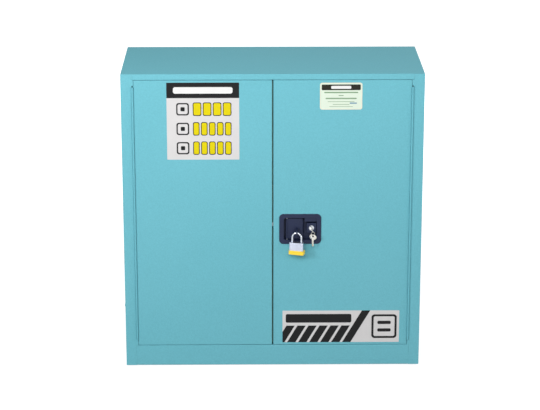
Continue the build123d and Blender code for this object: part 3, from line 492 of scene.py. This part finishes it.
def stretched(tree, geometry, size):
    changed = addNode(tree, "GeometryNodeTransform", {"Geometry": geometry, "Scale": size})
    return changed.outputs["Geometry"]


def runTree(tree, inputs):
    holder = bpy.data.objects.new(tree.name, bpy.data.meshes.new(tree.name))
    bpy.context.scene.collection.objects.link(holder)
    maker = holder.modifiers.new(tree.name, "NODES")
    maker.node_group = tree
    for item in tree.interface.items_tree:
        if item.in_out == "INPUT":
            maker[item.identifier] = inputs[item.name]
    return plainMesh(holder)


# Woven wire in the vents

wireLook = {"Radius": 25.2 * mm, "Pitch": 3.0 * mm, "Wire": 0.42 * mm, "Crimp": 0.45 * mm}


def makeWireTree(inputs, material, stepsPerPitch=4.0, sides=6):
    # crimped wires side by side along X, and the same again a quarter turn on with the crimp
    # reversed; a wire is never shorter than 2 mm
    tree, given = geometryTree("wovenWire", inputs)
    radius, pitch = given["Radius"], given["Pitch"]
    rows = maths(tree, "FLOOR", maths(tree, "DIVIDE", radius, pitch))
    firstRow = maths(tree, "MULTIPLY", maths(tree, "MULTIPLY", rows, -1.0), pitch)
    line = addNode(tree, "GeometryNodeMeshLine", {
        "Count": maths(tree, "ADD", maths(tree, "MULTIPLY", rows, 2.0), 1.0),
        "Start Location": joinXYZ(tree, Y=firstRow), "Offset": joinXYZ(tree, Y=pitch),
    }, mode="OFFSET")
    place = addNode(tree, "GeometryNodeInputPosition").outputs[0]
    parts = addNode(tree, "ShaderNodeSeparateXYZ", {0: place}).outputs
    squares = [maths(tree, "POWER", value, 2.0) for value in (radius, parts["Y"])]
    reach = maths(tree, "MAXIMUM", maths(tree, "SUBTRACT", *squares), mm ** 2)
    size = joinXYZ(tree, X=maths(tree, "SQRT", reach), Y=1.0, Z=1.0)
    wire = addNode(tree, "GeometryNodeCurvePrimitiveLine", {"Start": (-1, 0, 0), "End": (1, 0, 0)})
    laid = placeOnPoints(tree, line.outputs["Mesh"], wire.outputs["Curve"], Scale=size)
    real = addNode(tree, "GeometryNodeRealizeInstances", {"Geometry": laid})
    fine = addNode(tree, "GeometryNodeResampleCurve", {
        "Curve": real.outputs["Geometry"], "Length": maths(tree, "DIVIDE", pitch, stepsPerPitch),
    }, mode="LENGTH")
    turns = maths(tree, "DIVIDE", maths(tree, "ADD", parts["X"], parts["Y"]), pitch)
    wave = maths(tree, "COSINE", maths(tree, "MULTIPLY", turns, math.pi))
    crimp = maths(tree, "MULTIPLY", wave, given["Crimp"])
    both = addNode(tree, "GeometryNodeJoinGeometry")
    for sign, turn in ((1.0, 0.0), (-1.0, math.pi / 2)):
        bent = addNode(tree, "GeometryNodeSetPosition", {
            "Geometry": fine.outputs["Curve"],
            "Offset": joinXYZ(tree, Z=maths(tree, "MULTIPLY", crimp, sign)),
        })
        turned = addNode(tree, "GeometryNodeTransform", {
            "Geometry": bent.outputs["Geometry"], "Rotation": (0, 0, turn),
        })
        tree.links.new(turned.outputs["Geometry"], both.inputs["Geometry"])
    profile = addNode(tree, "GeometryNodeCurvePrimitiveCircle", {
        "Resolution": sides, "Radius": given["Wire"],
    })
    tube = addNode(tree, "GeometryNodeCurveToMesh", {
        "Curve": both.outputs["Geometry"], "Profile Curve": profile.outputs["Curve"],
        "Fill Caps": True,
    })
    return closeTree(tree, tube.outputs["Mesh"], material)


def makeFlameScreens(look, material, halfThick=1.0):
    woven = runTree(makeWireTree(look, material), look)
    low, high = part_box("flame_screens")
    screens = []
    for side in ("left", "right"):
        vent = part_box("vent_cap_" + side)
        middle = (vent[0] + vent[1]) / 2
        x = low.x + halfThick * mm if side == "left" else high.x - halfThick * mm
        screen = woven.copy()
        screen.transform(Matrix.Translation((x, middle.y, middle.z))
                         @ Matrix.Rotation(math.pi / 2, 4, "Y"))
        screens.append(screen)
    mesh = tidyShading(joinMeshes("flame_mesh", screens))
    addPiece("flame_mesh", mesh, "cabinet", material, ["flame_screens"])


makeFlameScreens(wireLook, metals["clearZincPlate"])
print("vents fitted")


# Grip ribs round the vent caps

ribLook = {
    "Count": 40, "Radius": 33.0 * mm, "Length": 7.0 * mm, "Width": 1.5 * mm, "Height": 1.0 * mm,
    "Start": 550.6 * mm,
}


def makeRibTree(inputs, material, sides=8):
    # rounded bars on a ring round Z, from a bar one unit wide and long
    tree, given = geometryTree("capRibs", inputs)
    ring = addNode(tree, "GeometryNodeMeshCircle", {
        "Vertices": given["Count"], "Radius": given["Radius"],
    })
    bar = addNode(tree, "GeometryNodeMeshCylinder", {
        "Vertices": sides, "Radius": 0.5, "Depth": 1.0,
    })
    size = joinXYZ(tree, X=given["Height"], Y=given["Width"], Z=given["Length"])
    place = addNode(tree, "GeometryNodeInputPosition").outputs[0]
    outward = addNode(tree, "FunctionNodeAlignRotationToVector", {
        "Vector": place,
    }, axis="X", pivot_axis="Z")
    laid = placeOnPoints(
        tree, ring.outputs["Mesh"], stretched(tree, bar.outputs["Mesh"], size),
        Rotation=outward.outputs["Rotation"])
    middle = maths(tree, "MULTIPLY_ADD", given["Length"], 0.5, given["Start"])
    moved = addNode(tree, "GeometryNodeTransform", {
        "Geometry": laid, "Translation": joinXYZ(tree, Z=middle),
    })
    return closeTree(tree, moved.outputs["Geometry"], material)


for side, sign in (("left", -1), ("right", 1)):
    low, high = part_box("vent_cap_" + side)
    ribs = runTree(makeRibTree(ribLook, paint), ribLook)
    middle = (low + high) / 2
    ribs.transform(Matrix.Translation((0, middle.y, middle.z))
                   @ Matrix.Rotation(sign * math.pi / 2, 4, "Y"))
    addPiece("cap_ribs_" + side, tidyShading(ribs), "vent_cap_" + side, paint)


# Rivets

def makeRivetTree(inputs, material, segments=18, rings=10):
    # a grid of domed rivet heads, each a closed lens half sunk in the sheet, domes towards Z
    tree, given = geometryTree("rivetGrid", inputs)
    spans = [maths(tree, "MULTIPLY", maths(tree, "SUBTRACT", given[count], 1.0), given[gap])
             for count, gap in (("Columns", "Column Gap"), ("Rows", "Row Gap"))]
    grid = addNode(tree, "GeometryNodeMeshGrid", {
        "Size X": spans[0], "Size Y": spans[1],
        "Vertices X": given["Columns"], "Vertices Y": given["Rows"],
    })
    ball = addNode(tree, "GeometryNodeMeshUVSphere", {
        "Segments": segments, "Rings": rings, "Radius": 1.0,
    })
    size = joinXYZ(tree, X=given["Radius"], Y=given["Radius"], Z=given["Height"])
    head = stretched(tree, ball.outputs["Mesh"], size)
    return closeTree(tree, placeOnPoints(tree, grid.outputs["Mesh"], head), material)


def rivetSheet(material, place, look):
    inputs = {"Rows": look["rows"], "Columns": look["columns"]}
    for label, key in (("Row Gap", "rowGap"), ("Column Gap", "columnGap"),
                       ("Radius", "radius"), ("Height", "height")):
        inputs[label] = look[key] * mm
    mesh = runTree(makeRivetTree(inputs, material), inputs)
    mesh.transform(place)
    return mesh


def axes(right, up, spot):
    # a frame whose X is right, whose Y is up and whose Z faces out of the sheet
    right, up = Vector(right).normalized(), Vector(up).normalized()
    out = right.cross(up)
    return Matrix((
        (right.x, up.x, out.x, spot[0]), (right.y, up.y, out.y, spot[1]),
        (right.z, up.z, out.z, spot[2]), (0, 0, 0, 1),
    ))


standardLook = {
    "rows": 4, "columns": 2, "rowGap": 250, "columnGap": 235.8, "radius": 3.2, "height": 1.1,
    "faceX": 497.6, "middleY": 1.4, "middleZ": 585,
}


def makeStandardRivets(look, material):
    # blind rivets that hold the shelf standards to the side liners
    meshes = []
    for sign in (-1, 1):
        spot = (sign * look["faceX"] * mm, look["middleY"] * mm, look["middleZ"] * mm)
        meshes.append(rivetSheet(material, axes((0, -sign, 0), (0, 0, 1), spot), look))
    mesh = tidyShading(joinMeshes("standard_rivets", meshes))
    addPiece("standard_rivets", mesh, "cabinet", material)


padlockLook = {
    "rows": 2, "columns": 2, "rowGap": 15.4, "columnGap": 44.6, "radius": 1.9, "height": 0.8,
    "turn": 17,
}


def makePadlockRivets(look, material):
    # peened rivet ends on the padlock's top plate
    low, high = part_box("padlock_body")
    middle = (low + high) / 2
    turned = Matrix.Rotation(math.radians(-look["turn"]), 4, "Z")
    place = Matrix.Translation((middle.x, middle.y, high.z)) @ turned
    mesh = tidyShading(rivetSheet(material, place, look))
    addPiece("padlock_rivets", mesh, "padlock_body", material)


makeStandardRivets(standardLook, metals["clearZincPlate"])
makePadlockRivets(padlockLook, metals["brightSteelPlate"])
print("rivets and ribs placed")


# Keys: stamped and milled blanks with cut bitting
# On a key, u runs along the blade towards its tip and v across it, both in mm

keyLook = {
    "thick": 2.0, "edge": 0.25, "edgeSteps": 2, "edgeAngle": 50,
    "bowHalfLength": 10, "bowHalfWidth": 14, "bowPoints": 57, "hole": 3.8,
    "bladeHalf": 4, "neckSpare": 1.6,
    "shoulder": ((0.7, 0.6), (1.6, 0)),  # along the blade, and out from it
    # back from the tip, and across as a share of half the blade
    "tip": ((2.2, -1.0), (0.4, -0.4), (0, -0.15), (0.3, 0.15), (2.6, 0.75)),
    "cuts": (1.4, 2.6, 0.8, 2.2, 1.6), "cutPitch": 3.8, "cutStart": 5, "cutEnd": 3.4,
    "cutFlat": 0.6, "crestDrop": 0.5,
    "grooveWidth": 1.7, "grooveDepth": 0.5, "grooveShift": 0.9, "grooveStart": 1.5, "grooveOver": 4,
}
keyPlaces = {
    "cut_key": {"bow": (-15, -1), "hole": (-15, -9.5), "tip": 17, "lean": 28},
    "hung_key": {"bow": (2.8, 0), "hole": (0, 0), "tip": 38.8, "turn": 25, "holeDrop": 7.2},
}


def keyOutline(look, bow, tipU):
    half, reach, width = look["bladeHalf"], look["bowHalfLength"], look["bowHalfWidth"]
    neck = math.asin((half + look["neckSpare"]) / width)
    shoulder = bow[0] + reach * math.cos(neck)
    points = []
    for i in range(look["bowPoints"]):
        angle = neck + (2 * math.pi - 2 * neck) * i / (look["bowPoints"] - 1)
        points.append((bow[0] + reach * math.cos(angle), bow[1] + width * math.sin(angle)))
    points += [(shoulder + along, -half - out) for along, out in look["shoulder"]]
    points += [(tipU - back, half * share) for back, share in look["tip"]]
    start = shoulder + look["cutStart"]
    cuts = [(start + look["cutPitch"] * i, deep) for i, deep in enumerate(look["cuts"])]
    flat, crest = look["cutFlat"], half - look["crestDrop"]
    for u, deep in reversed([cut for cut in cuts if cut[0] < tipU - look["cutEnd"]]):
        floor = half - deep
        points += [(u + flat, floor), (u - flat, floor), (u - look["cutPitch"] / 2, crest)]
    points += [(shoulder + along, half + out) for along, out in reversed(look["shoulder"])]
    return points, shoulder


def flatSolid(name, loops, thick, weld=0.001):
    # fills flat loops, the later ones as holes, and gives them a thickness, in mm
    curve = bpy.data.curves.new(name, "CURVE")
    curve.dimensions, curve.fill_mode = "2D", "BOTH"
    curve.extrude = thick / 2 * mm
    for loop in loops:
        line = curve.splines.new("POLY")
        line.points.add(len(loop) - 1)
        for point, (u, v) in zip(line.points, loop):
            point.co = (u * mm, v * mm, 0, 1)
        line.use_cyclic_u = True
    holder = bpy.data.objects.new(name, curve)
    bpy.context.scene.collection.objects.link(holder)
    mesh = plainMesh(holder)
    edit = bmesh.new()
    edit.from_mesh(mesh)
    bmesh.ops.remove_doubles(edit, verts=edit.verts, dist=weld * mm)
    bmesh.ops.recalc_face_normals(edit, faces=edit.faces)
    edit.to_mesh(mesh)
    edit.free()
    return mesh


def circleLoop(u, v, radius, count=32):
    steps = [2 * math.pi * i / count for i in range(count)]
    return [(u + radius * math.cos(a), v + radius * math.sin(a)) for a in steps]


def slotLoop(startU, endU, v, half, count=10):
    loop = []
    for centre, first in ((endU, -math.pi / 2), (startU, math.pi / 2)):
        for i in range(count + 1):
            angle = first + math.pi * i / count
            loop.append((centre + half * math.cos(angle), v + half * math.sin(angle)))
    return loop


def cutAway(mesh, cutters, look):
    body = bpy.data.objects.new("cutBody", mesh)
    bpy.context.scene.collection.objects.link(body)
    tools = []
    for cutter in cutters:
        tool = bpy.data.objects.new("cutTool", cutter)
        bpy.context.scene.collection.objects.link(tool)
        tools.append(tool)
        step = body.modifiers.new("cut", "BOOLEAN")
        step.operation, step.solver, step.object = "DIFFERENCE", "EXACT", tool
    bevel = body.modifiers.new("edges", "BEVEL")
    bevel.width, bevel.segments, bevel.limit_method = look["edge"] * mm, look["edgeSteps"], "ANGLE"
    bevel.angle_limit, bevel.use_clamp_overlap = math.radians(look["edgeAngle"]), True
    solid = plainMesh(body)
    for tool in tools:
        bpy.data.objects.remove(tool)
    return solid


def makeKey(name, body, standsFor, place, spots, look, cutterThick=1.0):
    outline, shoulder = keyOutline(look, spots["bow"], spots["tip"])
    hole = circleLoop(*spots["hole"], look["hole"])
    blank = flatSolid(name, [outline, hole], look["thick"])
    start, end = shoulder + look["grooveStart"], spots["tip"] + look["grooveOver"]
    height = look["thick"] / 2 + cutterThick / 2 - look["grooveDepth"]
    cutters = []
    for side in (-1, 1):
        loop = slotLoop(start, end, side * look["grooveShift"], look["grooveWidth"] / 2)
        groove = flatSolid("groove", [loop], cutterThick)
        groove.transform(Matrix.Translation((0, 0, side * height * mm)))
        cutters.append(groove)
    mesh = cutAway(blank, cutters, look)
    mesh.transform(place)
    mesh = tidyShading(mesh, degrees=30)
    addPiece(name, mesh, body, metals["nickelSilver"], [standsFor])


def makeKeys(look, places):
    # one key in the lock, leaning with the plug, and one hanging from the ring
    spots = places["cut_key"]
    lean = math.radians(spots["lean"])
    low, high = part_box("lock_plug")
    root = ((low.x + high.x) / 2, low.y, (low.z + high.z) / 2)
    place = axes((0, 1, 0), (-math.sin(lean), 0, math.cos(lean)), root)
    makeKey("cut_key", "lock_plug", "lock_key", place, spots, look)
    spots = places["hung_key"]
    turned = math.radians(spots["turn"])
    low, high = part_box("spare_key")
    hole = ((low.x + high.x) / 2, (low.y + high.y) / 2, high.z - spots["holeDrop"] * mm)
    place = axes((0, 0, -1), (math.cos(turned), -math.sin(turned), 0), hole)
    makeKey("hung_key", "key_ring", "spare_key", place, spots, look)


makeKeys(keyLook, keyPlaces)
print("keys cut")


# Ground stud: rolled thread, chamfered nut and a toothed washer

studLook = {
    "radius": 4.0, "pitch": 1.25, "threadDepth": 0.6, "tip": 1.0, "threadInside": 2,
    "nutFlats": 13, "nutThick": 6, "nutChamfer": 0.9, "nutFaceOver": 0.15,
    "washerRadius": 7.4, "washerThick": 0.9, "teeth": 16, "toothDepth": 0.7,
    "headRadius": 6.4, "headThick": 3, "headChamfer": 0.6,
    "wallX": -546.0, "endX": -566.8, "headX": -541.8,
}


def ringSurface(name, rings):
    # closes a stack of equal rings of points into one solid
    edit = bmesh.new()
    grid = [[edit.verts.new(point) for point in ring] for ring in rings]
    count = len(grid[0])
    for first, second in zip(grid, grid[1:]):
        for i in range(count):
            j = (i + 1) % count
            edit.faces.new((first[i], first[j], second[j], second[i]))
    edit.faces.new(grid[0])
    edit.faces.new(grid[-1])
    bmesh.ops.recalc_face_normals(edit, faces=edit.faces)
    mesh = bpy.data.meshes.new(name)
    edit.to_mesh(mesh)
    edit.free()
    return mesh


def roundRing(x, radiusAt, count):
    # radiusAt is a radius, or a function that gives one for each angle
    angles = [2 * math.pi * i / count for i in range(count)]
    radii = [radiusAt(a) if callable(radiusAt) else radiusAt for a in angles]
    return [(x * mm, r * math.cos(a) * mm, r * math.sin(a) * mm) for a, r in zip(angles, radii)]


def threadRings(look, startX, endX, count=28, stepsPerPitch=7):
    steps = int(abs(endX - startX) / look["pitch"] * stepsPerPitch)
    rings = []
    for i in range(steps + 1):
        x = startX + (endX - startX) * i / steps
        limit = look["radius"] - max(0, look["tip"] - abs(endX - x))

        def radiusAt(angle, x=x, limit=limit):
            phase = (x / look["pitch"] + angle / (2 * math.pi)) % 1
            return min(look["radius"] - look["threadDepth"] * abs(2 * phase - 1), limit)

        rings.append(roundRing(x, radiusAt, count))
    return rings


def nutRings(look, lowX, highX, count=72):
    half, chamfer = look["nutFlats"] / 2, look["nutChamfer"]

    def hexagon(angle):
        return half / math.cos((angle + math.pi / 6) % (math.pi / 3) - math.pi / 6)

    def rounded(angle):
        return min(hexagon(angle), half + look["nutFaceOver"])

    stack = (
        (lowX, rounded), (lowX + chamfer, hexagon), (highX - chamfer, hexagon), (highX, rounded),
    )
    return [roundRing(x, shape, count) for x, shape in stack]


def washerRings(look, startX, endX, count=96):

    def toothed(angle):
        notched = math.sin(angle * look["teeth"]) < 0
        return look["washerRadius"] - (look["toothDepth"] if notched else 0)

    return [roundRing(x, toothed, count) for x in (startX, endX)]


def headRings(look, count=36):
    end, radius, chamfer = look["headX"], look["headRadius"], look["headChamfer"]
    stack = ((end, radius - chamfer), (end - chamfer, radius), (end - look["headThick"], radius))
    return [roundRing(x, size, count) for x, size in stack]


def makeGroundStud(look, material):
    low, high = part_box("ground_stud")
    place = Matrix.Translation((0, (low.y + high.y) / 2, (low.z + high.z) / 2))
    wall = look["wallX"]
    washer = wall - look["washerThick"]
    meshes = [
        ringSurface("thread", threadRings(look, wall + look["threadInside"], look["endX"])),
        ringSurface("washer", washerRings(look, wall, washer)),
        ringSurface("nut", nutRings(look, wall - look["nutThick"], washer)),
        ringSurface("head", headRings(look)),
    ]
    for mesh in meshes:
        mesh.transform(place)
    mesh = tidyShading(joinMeshes("stud_and_nut", meshes))
    addPiece("stud_and_nut", mesh, "cabinet", material, ["ground_stud"])


makeGroundStud(studLook, metals["clearZincPlate"])
print("ground stud made")


# Studio: pale floor, soft lamps and the camera at the photograph's angle, sizes in metres

def seenDirectly(tree):
    # 1 for the camera's own rays and for mirror and glass rays, 0 for soft bounced light
    path = addNode(tree, "ShaderNodeLightPath").outputs
    seen = maths(tree, "MAXIMUM", path["Is Camera Ray"], path["Is Glossy Ray"])
    return maths(tree, "MAXIMUM", seen, path["Is Transmission Ray"])


floorLook = {
    "size": 40, "colour": "#A0A0A0", "whiteNear": 0.8, "nearRadius": 0.9, "farRadius": 2.4,
}


def makeFloor(look):
    # matt paper sweep: keeps the shadow near the object and runs out to plain white
    material, tree = newMaterial("studioFloor")
    away = addNode(tree, "ShaderNodeVectorMath", {0: objectSpot(tree)}, operation="LENGTH")
    fade = addNode(tree, "ShaderNodeMapRange", {
        "Value": away.outputs["Value"], "From Min": look["nearRadius"],
        "From Max": look["farRadius"], "To Min": look["whiteNear"], "To Max": 1.0,
    }, interpolation_type="SMOOTHSTEP")
    lift = maths(tree, "MULTIPLY", seenDirectly(tree), fade.outputs["Result"])
    matt = addNode(tree, "ShaderNodeBsdfDiffuse", {"Color": hexToLinear(look["colour"])})
    glow = addNode(tree, "ShaderNodeEmission", {"Color": (1, 1, 1, 1), "Strength": lift})
    both = addNode(tree, "ShaderNodeAddShader", {0: matt.outputs[0], 1: glow.outputs[0]})
    addNode(tree, "ShaderNodeOutputMaterial", {"Surface": both.outputs[0]})
    half = look["size"] / 2
    corners = [(-half, -half, 0), (half, -half, 0), (half, half, 0), (-half, half, 0)]
    mesh = bpy.data.meshes.new("floor")
    mesh.from_pydata(corners, [], [(0, 1, 2, 3)])
    mesh.materials.append(material)
    floor = bpy.data.objects.new("floor", mesh)
    bpy.context.scene.collection.objects.link(floor)


worldLook = {"colour": "#FFFFFF", "sideAmbient": 0.35, "topAmbient": 0.56, "topFrom": 0.8}


def makeWorld(look):
    # plain white where it is seen, a softer light from it elsewhere, a little more from above
    world = bpy.data.worlds.new("studio")
    world.use_nodes = True
    bpy.context.scene.world = world
    tree = world.node_tree
    tree.nodes.clear()
    aim = addNode(tree, "ShaderNodeTexCoord").outputs["Generated"]
    height = addNode(tree, "ShaderNodeSeparateXYZ", {0: aim}).outputs["Z"]
    soft = spread(tree, height, look["sideAmbient"], look["topAmbient"], 0.0, look["topFrom"])
    level = spread(tree, seenDirectly(tree), soft, 1.0, 0.0, 1.0)
    sky = addNode(tree, "ShaderNodeBackground", {
        "Color": hexToLinear(look["colour"]), "Strength": level,
    })
    addNode(tree, "ShaderNodeOutputWorld", {"Surface": sky.outputs[0]})


lampLooks = {
    "keyLeft": {
        "place": (-2.7, -2.6, 1.9), "aim": (0.1, 0, 0.85), "size": (0.8, 0.8), "power": 62,
    },
    "fillFront": {
        "place": (-0.2, -2.3, 2.05), "aim": (0.1, 0, 1.25), "size": (2.2, 0.8), "power": 39,
    },
    "fillRight": {
        "place": (3.6, -1.5, 1.3), "aim": (0, 0, 0.6), "size": (2.4, 2.0), "power": 42,
    },
    "backSoft": {
        "place": (1.2, 4.5, 1.2), "aim": (0, 0, 0.6), "size": (3.0, 1.6), "power": 105,
    },
}


def makeLamps(looks):
    for name, look in looks.items():
        lamp = bpy.data.lights.new(name, "AREA")
        lamp.shape = "RECTANGLE"
        lamp.size, lamp.size_y = look["size"]
        lamp.energy = look["power"]
        holder = bpy.data.objects.new(name, lamp)
        holder.location = look["place"]
        ahead = Vector(look["aim"]) - Vector(look["place"])
        holder.rotation_euler = ahead.to_track_quat("-Z", "Y").to_euler()
        bpy.context.scene.collection.objects.link(holder)


cameraLook = {
    "place": (-0.081, -7.0, 2.704), "pitch": 17.04, "yaw": 0.601,
    "focalPixels": 1941, "imageWidth": 540, "farthest": 100,
}


def makeCamera(look):
    data = bpy.data.cameras.new("camera")
    data.lens = look["focalPixels"] / look["imageWidth"] * data.sensor_width
    data.clip_end = look["farthest"]
    camera = bpy.data.objects.new("camera", data)
    camera.location = look["place"]
    camera.rotation_euler = (math.radians(90 - look["pitch"]), 0, -math.radians(look["yaw"]))
    bpy.context.scene.collection.objects.link(camera)
    bpy.context.scene.camera = camera


makeFloor(floorLook)
makeWorld(worldLook)
makeLamps(lampLooks)
makeCamera(cameraLook)
bpy.context.scene.view_settings.view_transform = "Standard"
print("studio ready")
